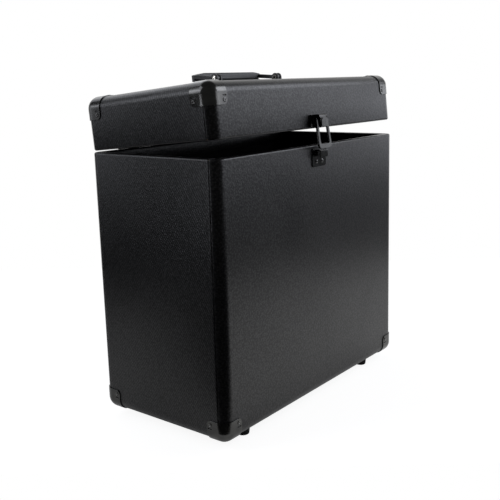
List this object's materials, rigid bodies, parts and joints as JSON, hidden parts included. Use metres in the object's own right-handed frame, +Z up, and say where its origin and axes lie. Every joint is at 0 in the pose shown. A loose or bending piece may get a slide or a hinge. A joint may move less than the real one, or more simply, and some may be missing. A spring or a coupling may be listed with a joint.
{
  "type": "record carrying case",
  "caption": "Upright wooden case in black leatherette with a hinged lid, steel corner guards, a draw latch and a folding carrying handle, for 12-inch records.",
  "frame": {"origin": "centre of the footprint, on the floor under the feet", "axes": "+X to the right along the latch side, +Y from the latch side to the hinges, +Z up"},
  "size_m": [0.3534, 0.1981, 0.3854],
  "materials": {
    "board_wood": "sawn poplar, unfinished under the covering",
    "leatherette": "fine-grained black leatherette, satin",
    "lining_paper": "matt black lining",
    "foot_rubber": "matt black",
    "guard_steel": "black enamel, satin",
    "guard_nail_steel": "black enamel",
    "hinge_steel": "black enamel, satin",
    "grip_plastic": "grained black plastic",
    "strap_steel": "black enamel",
    "bracket_steel": "black enamel, satin",
    "handle_rivet_steel": "black enamel, glossy",
    "handle_pin_nickel": "nickel-plated steel",
    "latch_steel": "black enamel, semi-gloss",
    "screw_steel": "black enamel, glossy"
  },
  "bodies": {
    "case_body": {"body_back_board": "board_wood", "body_bottom_board": "board_wood", "body_front_board": "board_wood", "body_guard_back_left": "guard_steel", "body_guard_back_right": "guard_steel", "body_guard_front_left": "guard_steel", "body_guard_front_right": "guard_steel", "body_guard_nails": "guard_nail_steel", "body_left_board": "board_wood", "body_left_panel": "leatherette", "body_lining": "lining_paper", "body_right_board": "board_wood", "body_right_panel": "leatherette", "body_wrap": "leatherette", "foot_back_left": "foot_rubber", "foot_back_right": "foot_rubber", "foot_front_left": "foot_rubber", "foot_front_right": "foot_rubber", "foot_screws": "screw_steel", "hinge_body_leaf_left": "hinge_steel", "hinge_body_leaf_right": "hinge_steel", "hinge_body_screws": "hinge_steel", "hinge_pin_left": "hinge_steel", "hinge_pin_right": "hinge_steel", "keeper": "latch_steel", "keeper_screws": "screw_steel"},
    "lid": {"handle_bracket_left": "bracket_steel", "handle_bracket_right": "bracket_steel", "handle_pin_left": "handle_pin_nickel", "handle_pin_right": "handle_pin_nickel", "handle_rivets": "handle_rivet_steel", "hinge_lid_leaf_left": "hinge_steel", "hinge_lid_leaf_right": "hinge_steel", "hinge_lid_screws": "hinge_steel", "latch_base": "latch_steel", "latch_base_screws": "screw_steel", "latch_lever_pin": "screw_steel", "lid_back_board": "board_wood", "lid_front_board": "board_wood", "lid_guard_back_left": "guard_steel", "lid_guard_back_right": "guard_steel", "lid_guard_front_left": "guard_steel", "lid_guard_front_right": "guard_steel", "lid_guard_nails": "guard_nail_steel", "lid_left_board": "board_wood", "lid_left_panel": "leatherette", "lid_lining": "lining_paper", "lid_right_board": "board_wood", "lid_right_panel": "leatherette", "lid_top_board": "board_wood", "lid_wrap": "leatherette"},
    "handle": {"handle_grip": "grip_plastic", "handle_arm_left": "strap_steel", "handle_arm_right": "strap_steel"},
    "latch_lever": {"latch_lever": "latch_steel"},
    "latch_bail": {"latch_bail": "latch_steel"}
  },
  "joints": [
    {"name": "lid_hinge", "type": "hinge", "parent": "case_body", "child": "lid", "pos_m": [0, 0.0932, 0.30276], "axis": [-1, 0, 0], "range_deg": [-5.5, 169.5]},
    {"name": "handle_fold", "type": "hinge", "parent": "lid", "child": "handle", "pos_m": [0, 0.0074, 0.37883], "axis": [1, 0, 0], "range_deg": [0, 164]},
    {"name": "latch_lever_turn", "type": "hinge", "parent": "lid", "child": "latch_lever", "pos_m": [0, -0.0953, 0.33477], "axis": [-1, 0, 0], "range_deg": [0, 170]},
    {"name": "latch_bail_swing", "type": "hinge", "parent": "latch_lever", "child": "latch_bail", "pos_m": [0, -0.09578, 0.3298], "axis": [-1, 0, 0], "range_deg": [-180.2, 0]}
  ],
  "couplings": [
    {"joint": "latch_bail_swing", "follows": "latch_lever_turn", "ratio": -1.06}
  ]
}
